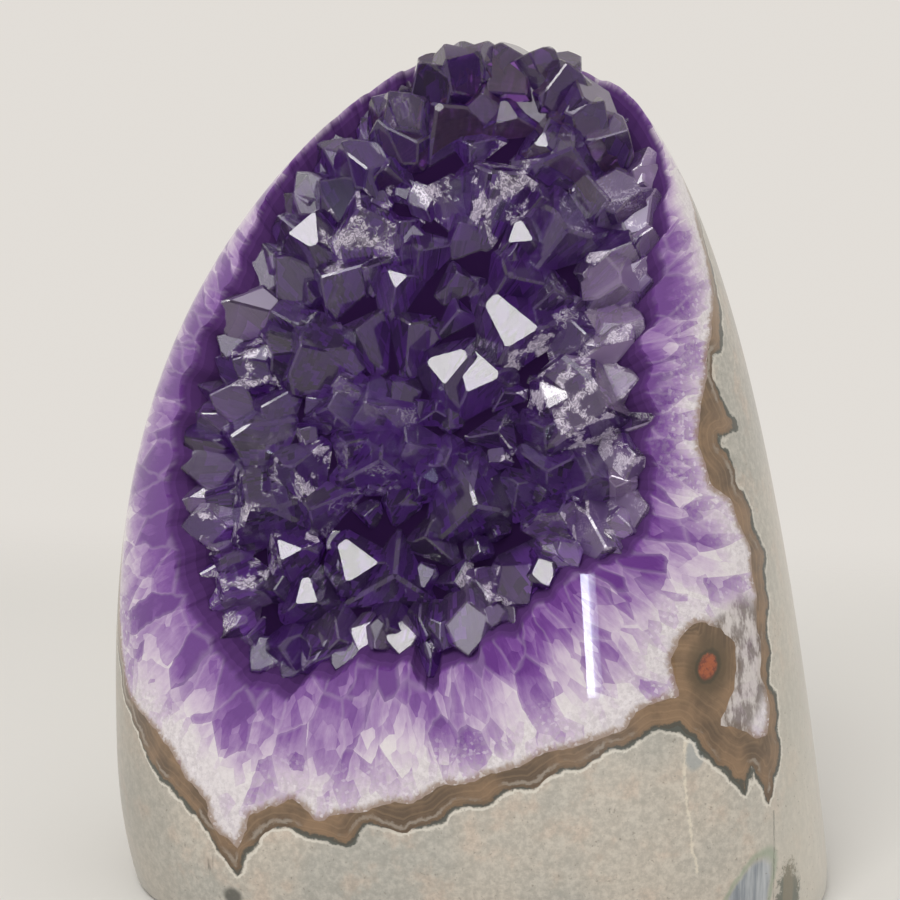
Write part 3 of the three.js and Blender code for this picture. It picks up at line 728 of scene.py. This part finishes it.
def agate_material(look):
    material, tree = new_material("brown_agate")
    where, (x, _, z) = object_place(tree)
    outer = attribute_of(tree, "edge")
    cloud = spots(tree, where, 150.0, 5.0)
    grain = spots(tree, where, 900.0, 4.0, 0.7)
    level = node(tree, "ShaderNodeCombineXYZ", {"X": outer * 1.7 + cloud * 3.0})
    band = node(tree, "ShaderNodeTexNoise", {"Vector": level, "Scale": 1.0, "Detail": 2.0})
    colour = mix(tree, cloud.ramp(0.34, 0.66), look.agate_light, look.agate_dark)
    colour = mix(tree, band.ramp(0.45, 0.62) * 0.2, colour, look.agate_pale)
    colour = mix(tree, grain.ramp(0.55, 0.72) * 0.25, colour, AGATE_GRAIN)
    knob = oval(x + (cloud - 0.5) * 2.2, z + (grain - 0.5) * 1.4, *KNOB)
    colour = mix(tree, (1.0 - knob.ramp(0.45, 0.95)) * 0.85, colour, KNOB_BROWNS[0])
    colour = mix(tree, (1.0 - knob.ramp(0.36, 0.46)) * 0.9, colour, KNOB_BROWNS[1])
    jasper = mix(tree, grain.ramp(0.4, 0.6), *JASPER_REDS)
    colour = mix(tree, 1.0 - knob.ramp(0.24, 0.34), colour, jasper)
    jag = outer + (grain - 0.5) * 1.6 + (cloud - 0.5) * 2.6
    colour = mix(tree, (1.0 - jag.ramp(0.05, 0.5)) * 0.9, colour, AGATE_CONTACT)
    clear = (1.0 - (jag - 1.3).maths("ABSOLUTE").ramp(0.1, 0.5)) * cloud.ramp(0.46, 0.6)
    colour = mix(tree, clear * 0.5, colour, AGATE_CLEAR)
    skin = node(tree, "ShaderNodeBsdfPrincipled", {
        "Base Color": colour, "Roughness": 0.26 + cloud * 0.1, "Coat Weight": 0.6, "Coat Roughness": 0.05})
    close(tree, skin)
    return material


def quartz_material(look):
    material, tree = new_material("quartz_rim")
    where, (x, y, z) = object_place(tree)
    far, share, below = parts_of(tree, attribute_of(tree, "growth", "Vector"))
    across, rise = x - HOLLOW_MIDDLE["x"], z - HOLLOW_MIDDLE["z"]
    angle = across.maths("ARCTAN2", 0.0 - rise)
    radius = (across * across + rise * rise).power(0.5)
    wander = spots(tree, where, 120.0, 3.0)
    pillar_at = node(tree, "ShaderNodeCombineXYZ", {
        "X": angle * 12.0 + wander * 0.7, "Y": radius / 10.0 + wander * 0.5, "Z": y / 30.0})
    pillar = cells(tree, pillar_at, 1.0)
    seam = node(tree, "ShaderNodeTexVoronoi", {"Vector": pillar_at, "Scale": 1.0},
                feature="DISTANCE_TO_EDGE")
    fibre_at = node(tree, "ShaderNodeCombineXYZ", {"X": angle * 60.0, "Y": radius / 4.0, "Z": y / 8.0})
    fibre = spots(tree, fibre_at, 1.0, 5.0, 0.65)
    cloud = spots(tree, where, 90.0, 4.0)
    sugar = spots(tree, where, 1100.0, 5.0, 0.75)
    crumb = cells(tree, where, 1900.0)
    chip_at = node(tree, "ShaderNodeCombineXYZ", {
        "X": angle * 30.0 + wander, "Y": radius / 3.6 + wander, "Z": y / 12.0})
    chip = cells(tree, chip_at, 1.0)
    shade = (pillar - 0.5) * 0.55 + (cloud - 0.5) * 0.7 + (fibre - 0.5) * 0.4 + (chip - 0.5) * 0.32
    right = x.ramp(30.0, 45.0) * z.ramp(85.0, 110.0)
    lighter = right * 0.14 - x.ramp(-40.0, -58.0) * 0.16 + z.ramp(108.0, 136.0) * 0.55
    depth = share + shade - lighter
    colour = node(tree, "ShaderNodeValToRGB", {"Fac": depth}, stops=(
        (0.05, look.quartz_white), (0.30, look.quartz_pale), (0.52, look.quartz_lilac),
        (0.80, look.quartz_violet), (1.0, look.quartz_deep)))
    near_agate = 1.0 - far.ramp(1.5, 11.0)
    colour = mix(tree, near_agate * sugar.ramp(0.42, 0.6) * 0.45, colour, QUARTZ_SUGAR)
    colour = mix(tree, (1.0 - seam.ramp(0.0, 0.09)) * 0.12, colour, look.quartz_white)
    stained = 1.0 - (far + (sugar - 0.5) * 2.4 + (fibre - 0.5) * 2.0).ramp(0.2, 1.5)
    colour = mix(tree, stained * 0.75, colour, look.agate_light)
    # White crumbs near the agate: partly white grains, partly painted sparkle.
    colour = mix(tree, near_agate * crumb.ramp(0.80, 0.98) * 0.4, colour, QUARTZ_CRUMB_AND_SPARKLE)
    grey = (1.0 - oval(x, z, *GREY_QUARTZ).ramp(0.8, 1.1)) * y.ramp(*FRONT_FADE)
    dust = spots(tree, where, 420.0, 4.0, 0.7, (1.0, 1.0, 0.35))
    colour = mix(tree, grey * 0.8, colour, mix(tree, dust.ramp(0.42, 0.58), *QUARTZ_GREYS))
    # The bed: each socket a random tone, and the bare wall painted shade that darkens with depth.
    bed = mix(tree, attribute_of(tree, "tone"), look.quartz_dark, look.quartz_bright)
    inside = below.ramp(0.2, 1.6)
    colour = mix(tree, inside, colour, bed)
    relief = (sugar * 0.5 + crumb * 0.5 + fibre + chip * 0.5) * (1.0 - inside)
    bump = node(tree, "ShaderNodeBump", {"Height": relief, "Distance": 0.00035, "Strength": 0.5})
    rough = (0.42 - crumb * 0.25).maths("MAXIMUM", inside * 0.6)
    skin = node(tree, "ShaderNodeBsdfPrincipled", {
        "Base Color": colour, "Roughness": rough, "Normal": bump, "Specular IOR Level": 0.0,
        "Coat Weight": (1.0 - inside) * 0.9, "Coat Roughness": 0.05})
    close(tree, skin)
    return material


def amethyst_material(look):
    material, tree = new_material("clear_amethyst")
    where, _ = object_place(tree)
    depth = attribute_of(tree, "purple")
    veil = attribute_of(tree, "veil")
    haze = attribute_of(tree, "haze")
    facet = attribute_of(tree, "facet")
    cloud = spots(tree, where, 110.0, 2.0)
    patch = spots(tree, where, 260.0, 3.0)
    flakes = node(tree, "ShaderNodeTexNoise", {
        "Vector": where, "Scale": 700.0, "Detail": 4.0, "Roughness": 0.6, "Distortion": 1.6})
    colour = node(tree, "ShaderNodeValToRGB", {"Fac": depth + (cloud - 0.5) * 0.7}, stops=(
        (0.0, look.point_pale), (0.45, look.point_violet), (1.0, look.point_deep)))
    clear = node(tree, "ShaderNodeBsdfPrincipled", {
        "Base Color": colour, "Roughness": 0.02 + haze * 0.13, "IOR": look.point_ior,
        "Transmission Weight": 1.0})
    threads = (flakes - 0.5).maths("ABSOLUTE").ramp(0.05, 0.0)
    # Frost: milky veins in the veiled points, partly painted sparkle along their white threads.
    frost_and_sparkle = veil * patch.ramp(0.46, 0.6) * (0.25 + threads * 0.6)
    flaws = mix(tree, depth, look.flaw_pale, look.flaw_deep)
    milky = node(tree, "ShaderNodeBsdfPrincipled", {
        "Base Color": mix(tree, frost_and_sparkle.ramp(0.05, 0.4), flaws, look.frost_and_sparkle),
        "Roughness": 0.25, "Coat Weight": 1.0, "Coat Roughness": 0.02})
    milk = frost_and_sparkle + (0.2 + facet * facet) * look.flaw_share
    milk = milk + attribute_of(tree, "pale") * (0.2 + cloud * 0.5)
    surface = node(tree, "ShaderNodeMixShader", {0: milk.clamped(), 1: clear, 2: milky})
    inside = node(tree, "ShaderNodeVolumeAbsorption", {
        "Color": look.absorb_colour, "Density": look.absorb_density})
    close(tree, surface, inside)
    return material


def crystal_masters(look):
    """One lightly chamfered quartz point per habit, one unit wide, its tip at the origin."""
    dice = np.random.default_rng(look.seed)
    masters = []
    for _ in range(HABITS):
        bpy.ops.object.select_all(action="DESELECT")
        bpy.ops.mesh.primitive_cylinder_add(
            vertices=6, radius=1.0 / math.sqrt(3.0), depth=ROOT_WIDTHS, location=(0, 0, -ROOT_WIDTHS / 2))
        obj = bpy.context.object
        bpy.ops.object.transform_apply(location=True, rotation=True, scale=True)
        bpy.ops.object.mode_set(mode="EDIT")
        for side in range(6):
            small = side % 2 == 1
            set_back = dice.uniform(0.0, MOST_SET_BACK)
            angle = (side + 0.5) * math.pi / 3.0
            facing = Vector((math.sin(FACE_TILT) * math.cos(angle), math.sin(FACE_TILT) * math.sin(angle),
                             math.cos(FACE_TILT)))
            bpy.ops.mesh.select_all(action="SELECT")
            bpy.ops.mesh.bisect(plane_co=facing * (set_back if small else -set_back), plane_no=facing,
                                use_fill=True, clear_outer=True)
        bpy.ops.object.mode_set(mode="OBJECT")
        edge = obj.modifiers.new("chamfer", "BEVEL")
        edge.width = look.chamfer
        edge.segments = 1
        edge.limit_method = "ANGLE"
        bpy.ops.object.modifier_apply(modifier=edge.name)
        masters.append(obj)
    return masters


def seeded_points(dice):
    """Small points that line the lip and fill the gaps between the listed ones."""
    edge, _, _ = border("hollow")
    floor = np.array(BOWLS["hollow"]["floor"])
    taken = np.array([on_dome(spec[0], spec[1]) for spec in POINTS])
    wide = np.array([spec[2] for spec in POINTS])
    made = []
    for share, width, below, crowd, tries in SEEDED:
        inward = np.sqrt(dice.uniform(share[0] ** 2, share[1] ** 2, tries))[:, None]
        places, ways = cast_out(floor + (edge[dice.integers(len(edge), size=tries)] - floor) * inward)
        sizes = dice.uniform(*width, tries)
        depths = dice.uniform(*below, tries)
        for place, way, size, depth in zip(places, ways, sizes, depths):
            if (np.linalg.norm(taken - place, axis=1) < crowd * (wide + size) / 2.0).any():
                continue
            taken = np.vstack([taken, place])
            wide = np.append(wide, size)
            made.append((place, way, size, depth, None))
    return made


def drawn_in(specs):
    """The same points a little smaller, to cut their sockets out of the quartz."""
    return [(place, way, width - 2.0 * SOCKET_LAP, below + 2.0 * SOCKET_LAP, bright and bright + SOCKET_LAP)
            for place, way, width, below, bright in specs]


def listed_points():
    """The listed points in the same form: place, way out, width, depth of tip and of bright face."""
    made = []
    for index, (bearing, z, width, below, *bright) in enumerate(POINTS):
        below = max(min(below, LEAST_SUNK), below - RAISED * (width - MIDDLING))
        if z > TOP_FROM:
            rise = TOP_RISE * min(max((z - CROWN_FROM) / (CROWN_TO - CROWN_FROM), 0.0), 1.0)
            below = max(below, TOP_SUNK + TOP_SPREAD * (index * GOLDEN % 1.0)) - rise
        whole = width * (WIDER + WIDER_BY_WIDTH * width)
        depth_of_bright = bright[0] if bright else None
        made.append((on_dome(bearing, z), dome_normal(bearing, z), whole, below, depth_of_bright))
    return made


def grown_axis(place, outward, dice):
    """A point grows square to the hollow's wall, so it leans in towards the middle near the lip."""
    aside = (HOLLOW_MIDDLE["x"] - place[0]) / HOLLOW_MIDDLE["across"]
    rise = (HOLLOW_MIDDLE["z"] - place[2]) / HOLLOW_MIDDLE["up"]
    lean = LEAN_AT_LIP * min(math.hypot(aside, rise), 1.0) ** 3
    stray = dice.uniform(-STRAY, STRAY, 3)
    return Vector(outward + np.array([aside * lean, 0.0, rise * lean]) + stray).normalized()


def grow_point(master, spec, dice, grown):
    """A copy of a master set in the hollow, with its bright face cut if it has one."""
    place, outward, width, below, bright = spec
    axis = grown_axis(place, outward, dice)
    tip = Vector(place - outward * below)
    turn = Quaternion((0, 0, 1), dice.uniform(0.0, math.pi))
    stand = Vector((0, 0, 1)).rotation_difference(axis)
    obj = bpy.data.objects.new("point", master.data.copy())
    bpy.context.collection.objects.link(obj)
    obj.data.transform(Matrix.LocRotScale(tip * MM, stand @ turn, Vector((width * MM,) * 3)))
    grown.append((tip, axis, width))
    if bright is not None:
        bpy.ops.object.select_all(action="DESELECT")
        bpy.context.view_layer.objects.active = obj
        obj.select_set(True)
        bpy.ops.object.mode_set(mode="EDIT")
        bpy.ops.mesh.select_all(action="SELECT")
        bpy.ops.mesh.bisect(plane_co=(tip - axis * bright) * MM, plane_no=direction(**BRIGHT_FACE),
                            use_fill=True, clear_outer=True)
        bpy.ops.object.mode_set(mode="OBJECT")
    return obj


def grow_all(masters, specs, dice, grown):
    """Grows a run of points and joins them two by two into one closed mesh."""
    if len(specs) == 1:
        return grow_point(masters[len(grown) % HABITS], specs[0], dice, grown)
    half = len(specs) // 2
    first = grow_all(masters, specs[:half], dice, grown)
    second = grow_all(masters, specs[half:], dice, grown)
    return shape_by(first, second, "UNION")


def point_cluster(look, fit):
    """All the points joined into one closed mesh, and the tip, axis and width of each."""
    specs = fit(listed_points() + seeded_points(np.random.default_rng(look.seed)))
    masters = crystal_masters(look)
    grown = []
    obj = grow_all(masters, specs, np.random.default_rng(look.seed + 1), grown)
    for master in masters:
        bpy.data.objects.remove(master, do_unlink=True)
    return obj, grown


def owner_of(places, grown):
    """Which point each place on the joined surface belongs to."""
    best = np.full(len(places), 1e9)
    owner = np.zeros(len(places), int)
    for index, (tip, axis, width) in enumerate(grown):
        away = places - np.array(tip)
        deep = -away @ np.array(axis)
        aside = np.sqrt(np.maximum((away ** 2).sum(1) - deep ** 2, 0.0))
        cone = math.sin(FACE_TILT) * aside - math.cos(FACE_TILT) * deep
        miss = np.abs(np.maximum(cone, aside - BODY_RADIUS * width)) / width
        closer = miss < best
        best = np.where(closer, miss, best)
        owner = np.where(closer, index, owner)
    return owner


def facet_dice(obj, owner, dice):
    """One random number for each flat facet of each point: facets glow or darken on their own."""
    normals = np.empty(len(obj.data.polygons) * 3)
    obj.data.polygons.foreach_get("normal", normals)
    key = np.column_stack([owner, np.rint(normals.reshape(-1, 3) * FACET_GRID)])
    _, facet = np.unique(key, axis=0, return_inverse=True)
    facet = facet.ravel()
    return dice.uniform(size=facet.max() + 1)[facet]


def finish_piece(obj, name, material, node_name):
    if not obj.data.polygons:
        raise RuntimeError(name + " came out empty")
    obj.name = name
    obj.data.name = name
    obj.data.materials.clear()
    obj.data.materials.append(material)
    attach(obj, "root")
    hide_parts(node_name)


class GeodeLook(bpy.types.PropertyGroup):
    def colour(name, description, default):
        return FloatVectorProperty(name=name, description=description, default=default, subtype="COLOR",
                                   size=3, min=0.0, max=1.0)

    basalt_cool: colour("Cool basalt", "Grey of the polished basalt", (0.47, 0.46, 0.42))
    basalt_warm: colour("Warm basalt", "Tan of the polished basalt", (0.59, 0.54, 0.47))
    basalt_pink: colour("Pink basalt", "Pink blotches in the basalt", (0.61, 0.48, 0.39))
    basalt_dark: colour("Dark basalt", "Dark specks in the basalt", (0.25, 0.24, 0.21))
    agate_light: colour("Light agate", "Lighter brown of the agate band", (0.25, 0.155, 0.085))
    agate_dark: colour("Dark agate", "Darker brown of the agate band", (0.105, 0.065, 0.035))
    agate_pale: colour("Pale agate", "Thin pale bands in the agate", (0.42, 0.28, 0.16))
    quartz_white: colour("White quartz", "Quartz beside the agate", (0.80, 0.76, 0.80))
    quartz_pale: colour("Pale quartz", "Quartz a little way in", (0.64, 0.53, 0.70))
    quartz_lilac: colour("Lilac quartz", "Middle of the rim", (0.40, 0.26, 0.52))
    quartz_violet: colour("Violet quartz", "Near the hollow", (0.22, 0.09, 0.36))
    quartz_deep: colour("Deep quartz", "Rim beside the hollow", (0.15, 0.05, 0.27))
    quartz_dark: colour("Dark quartz", "Darkest of the quartz under the points", (0.02, 0.007, 0.04))
    quartz_bright: colour("Bright quartz", "Brightest of the quartz under the points", (0.36, 0.15, 0.60))
    point_pale: colour("Pale points", "Tint of the palest points", (0.93, 0.85, 0.98))
    point_violet: colour("Violet points", "Tint of the middling points", (0.80, 0.62, 0.92))
    point_deep: colour("Deep points", "Tint of the deepest points", (0.60, 0.36, 0.80))
    # Frost is partly the milky veins' own colour, partly painted sparkle.
    frost_and_sparkle: colour("Frost", "Milky veins in the veiled points", (0.68, 0.62, 0.76))
    flaw_pale: colour("Pale flaws", "Haze in the palest points", (0.52, 0.40, 0.64))
    flaw_deep: colour("Deep flaws", "Haze in the deepest points", (0.07, 0.028, 0.155))
    flaw_share: FloatProperty(name="Flaw share", description="How hazy the haziest facets are", default=0.55,
                              subtype="FACTOR", min=0.0, max=1.0)
    absorb_colour: colour("Absorption", "What the clear amethyst lets through", (0.50, 0.14, 0.68))
    absorb_density: FloatProperty(name="Absorption density", description="How fast it darkens", default=95.0)
    point_ior: FloatProperty(name="IOR", description="Refraction of quartz", default=1.544)
    chamfer: FloatProperty(name="Chamfer", description="Share of a point's width taken off its edges",
                           default=0.022, subtype="FACTOR", min=0.0, max=0.2)
    seed: IntProperty(name="Seed", description="Sets the turns and leans of the points", default=11)


class GEODE_OT_stage(bpy.types.Operator):
    """Adds the camera, the pale floor and the soft studio lights"""

    bl_idname = "geode.stage"
    bl_label = "Stage"

    def execute(self, context):
        set_camera(context)
        set_floor()
        for lamp in LAMPS:
            add_lamp(context, **lamp)
        set_room(context)
        set_card()
        return {"FINISHED"}


class GEODE_OT_basalt(bpy.types.Operator):
    """Makes the polished basalt with its bowl cut out"""

    bl_idname = "geode.basalt"
    bl_label = "Basalt"

    def execute(self, context):
        obj = shape_by(dome("basalt"), bowl("basalt"), "DIFFERENCE")
        attribute(obj, "edge", nearest(points_of(obj), border("basalt")[0]))
        bpy.ops.object.shade_smooth_by_angle(angle=SMOOTH_BELOW)
        finish_piece(obj, "basalt", basalt_material(context.scene.geode_look), "basalt_matrix")
        return {"FINISHED"}


class GEODE_OT_agate(bpy.types.Operator):
    """Makes the brown agate layer between the basalt and the quartz"""

    bl_idname = "geode.agate"
    bl_label = "Agate"

    def execute(self, context):
        obj = shape_by(dome("agate"), bowl("basalt"), "INTERSECT")
        obj = shape_by(obj, bowl("agate"), "DIFFERENCE")
        attribute(obj, "edge", nearest(points_of(obj), border("basalt")[0]))
        bpy.ops.object.shade_smooth_by_angle(angle=SMOOTH_BELOW)
        finish_piece(obj, "agate", agate_material(context.scene.geode_look), "agate_lining")
        return {"FINISHED"}


class GEODE_OT_quartz(bpy.types.Operator):
    """Makes the quartz rim and the floor that the points grow from"""

    bl_idname = "geode.quartz"
    bl_label = "Quartz"

    def execute(self, context):
        obj = shape_by(dome("quartz"), bowl("agate"), "INTERSECT")
        obj = shape_by(obj, bowl("hollow"), "DIFFERENCE")
        look = context.scene.geode_look
        sockets, grown = point_cluster(look, drawn_in)
        # The core keeps the sockets from cutting deep into the polished rim.
        core = shape_by(dome("core", FLUSH_DEPTH), bowl("sockets"), "DIFFERENCE")
        sockets = shape_by(sockets, core, "DIFFERENCE")
        # Only the faces that are here before the sockets are cut keep this mark.
        attribute(obj, "bare", np.ones(len(obj.data.polygons)), "FACE")
        obj = shape_by(obj, sockets, "DIFFERENCE")
        place = points_of(obj)
        far = nearest(place, border("agate")[0])
        lip = nearest(place, border("hollow")[0])
        below = below_polish(place)
        share = far / np.maximum(far + lip, 0.01) + SINK_PURPLE * np.clip(below / SINK_WITHIN, 0.0, 1.0)
        attribute(obj, "growth", np.stack([far, share, below], -1))
        owner = owner_of(face_middles(obj), grown)
        tone = np.random.default_rng(look.seed + 3).uniform(*TONE_THROW, len(grown)) ** TONE_POWER
        bare = np.empty(len(obj.data.polygons))
        obj.data.attributes["bare"].data.foreach_get("value", bare)
        # The bare wall gets painted shade, darker the deeper it lies below the polish; each socket keeps its
        # point's random tone.
        wall = PAINTED_SHADE_WALL_TONE * np.clip(1.0 - below_polish(face_middles(obj)) / PAINTED_SHADE_WALL_DEPTH, 0.0, 1.0)
        attribute(obj, "tone", np.where(bare > 0.5, wall, tone[owner]), "FACE")
        bpy.ops.object.shade_smooth_by_angle(angle=SMOOTH_BELOW)
        finish_piece(obj, "quartz", quartz_material(look), "amethyst_crust")
        return {"FINISHED"}


class GEODE_OT_points(bpy.types.Operator):
    """Grows the clear amethyst points that line the hollow"""

    bl_idname = "geode.points"
    bl_label = "Points"

    def execute(self, context):
        look = context.scene.geode_look
        obj, grown = point_cluster(look, list)
        obj = shape_by(obj, dome("ground"), "INTERSECT")
        obj = shape_by(obj, bowl("agate"), "INTERSECT")
        owner = owner_of(face_middles(obj), grown)
        tips = np.array([tip for tip, _, _ in grown])
        dice = np.random.default_rng(look.seed + 2)
        pale = np.clip((tips[:, 0] - PALE_FROM) / PALE_OVER, 0.0, 1.0)
        inside = nearest(tips, border("hollow")[0]) / DEEPER_OVER
        purple = PURPLE_START + inside - pale * PALE_LOSS + dice.uniform(*PURPLE_THROW, len(tips))
        purple = np.clip(purple, *PURPLE_RANGE)
        veil = dice.uniform(*VEIL_THROW, len(tips)) ** VEIL_POWER
        veil += pale * dice.uniform(*VEIL_PALE_THROW, len(tips))
        for spot in VEILED:
            veil[np.argmin(np.linalg.norm(tips - on_dome(*spot), axis=1))] = 1.0
        facet = facet_dice(obj, owner, dice)
        attribute(obj, "purple", purple[owner] + (facet - 0.5) * FACET_SPREAD, "FACE")
        attribute(obj, "facet", facet, "FACE")
        attribute(obj, "veil", np.clip(veil, 0.0, 1.0)[owner], "FACE")
        attribute(obj, "haze", dice.uniform(size=len(tips))[owner] ** 2, "FACE")
        attribute(obj, "pale", (pale * dice.uniform(*PALE_THROW, len(tips)))[owner], "FACE")
        finish_piece(obj, "points", amethyst_material(look), "amethyst_crust")
        return {"FINISHED"}


class GEODE_PT_panel(bpy.types.Panel):
    bl_label = "Amethyst geode"
    bl_idname = "GEODE_PT_panel"
    bl_space_type = "VIEW_3D"
    bl_region_type = "UI"
    bl_category = "Geode"

    def draw(self, context):
        for step in STEPS:
            self.layout.operator(step.bl_idname)
        look = context.scene.geode_look
        for name in look.bl_rna.properties.keys():
            if name not in ("rna_type", "name"):
                self.layout.prop(look, name)


def set_camera(context):
    data = bpy.data.cameras.new("camera")
    data.lens = CAMERA["lens"]
    data.sensor_width = CAMERA["sensor"]
    data.clip_start = CAMERA["nearest"] * MM
    obj = bpy.data.objects.new("camera", data)
    context.collection.objects.link(obj)
    back = direction(CAMERA["bearing"], CAMERA["rise"])
    obj.location = Vector(CAMERA["target"]) * MM + back * CAMERA["distance"] * MM
    obj.rotation_euler = back.to_track_quat("Z", "Y").to_euler()
    context.scene.camera = obj


def set_floor():
    """A pale floor that fades into the room behind the stone."""
    bpy.ops.object.select_all(action="DESELECT")
    bpy.ops.mesh.primitive_plane_add(size=FLOOR_SIZE, location=(0, 0, 0))
    floor = bpy.context.object
    floor.name = "floor"
    material, tree = new_material("pale_floor")
    _, back, _ = parts_of(tree, node(tree, "ShaderNodeTexCoord", out="Object"))
    close(tree, node(tree, "ShaderNodeBsdfPrincipled", {
        "Base Color": FLOOR_PALE, "Roughness": 0.8, "Specular IOR Level": 0.0,
        "Alpha": 1.0 - back.ramp(*FLOOR_FADE)}))
    floor.data.materials.append(material)


def aim(obj, bearing, rise, distance):
    """Sets a lamp or a card at a distance in metres, facing the stone's middle."""
    away = direction(bearing, rise)
    obj.location = Vector((0, 0, HEIGHT / 2 * MM)) + away * distance
    obj.rotation_euler = away.to_track_quat("Z", "Y").to_euler()


def set_card():
    """A dark card behind the camera that shows only in reflections, so the facets read."""
    bpy.ops.object.select_all(action="DESELECT")
    bpy.ops.mesh.primitive_plane_add(size=1.0)
    obj = bpy.context.object
    obj.name = "card"
    obj.scale = (*CARD["size"], 1.0)
    aim(obj, CARD["bearing"], CARD["rise"], CARD["distance"])
    material, tree = new_material("dark_card")
    close(tree, node(tree, "ShaderNodeBsdfPrincipled", {"Base Color": CARD_BLACK, "Roughness": 1.0}))
    obj.data.materials.append(material)
    obj.visible_camera = False
    obj.visible_diffuse = False
    obj.visible_shadow = False


def add_lamp(context, name, bearing, rise, distance, size, power, colour, shines):
    data = bpy.data.lights.new(name, "AREA")
    data.shape = "RECTANGLE"
    data.size, data.size_y = size
    data.energy = power
    data.color = colour
    obj = bpy.data.objects.new(name, data)
    context.collection.objects.link(obj)
    aim(obj, bearing, rise, distance)
    obj.visible_diffuse = shines


def set_room(context):
    world = bpy.data.worlds.new("studio")
    context.scene.world = world
    world.use_nodes = True
    back = world.node_tree.nodes["Background"]
    back.inputs["Color"].default_value = ROOM_COLOUR
    back.inputs["Strength"].default_value = ROOM_STRENGTH
    context.scene.view_settings.view_transform = "Standard"


STEPS = (GEODE_OT_stage, GEODE_OT_basalt, GEODE_OT_agate, GEODE_OT_quartz, GEODE_OT_points)
CLASSES = (GeodeLook, *STEPS, GEODE_PT_panel)


def register():
    for item in CLASSES:
        bpy.utils.register_class(item)
    bpy.types.Scene.geode_look = PointerProperty(type=GeodeLook)


def unregister():
    del bpy.types.Scene.geode_look
    for item in reversed(CLASSES):
        bpy.utils.unregister_class(item)


def main():
    register()
    bpy.ops.geode.stage()
    bpy.ops.geode.basalt()
    bpy.ops.geode.agate()
    bpy.ops.geode.quartz()
    bpy.ops.geode.points()


if __name__ == "__main__":
    main()
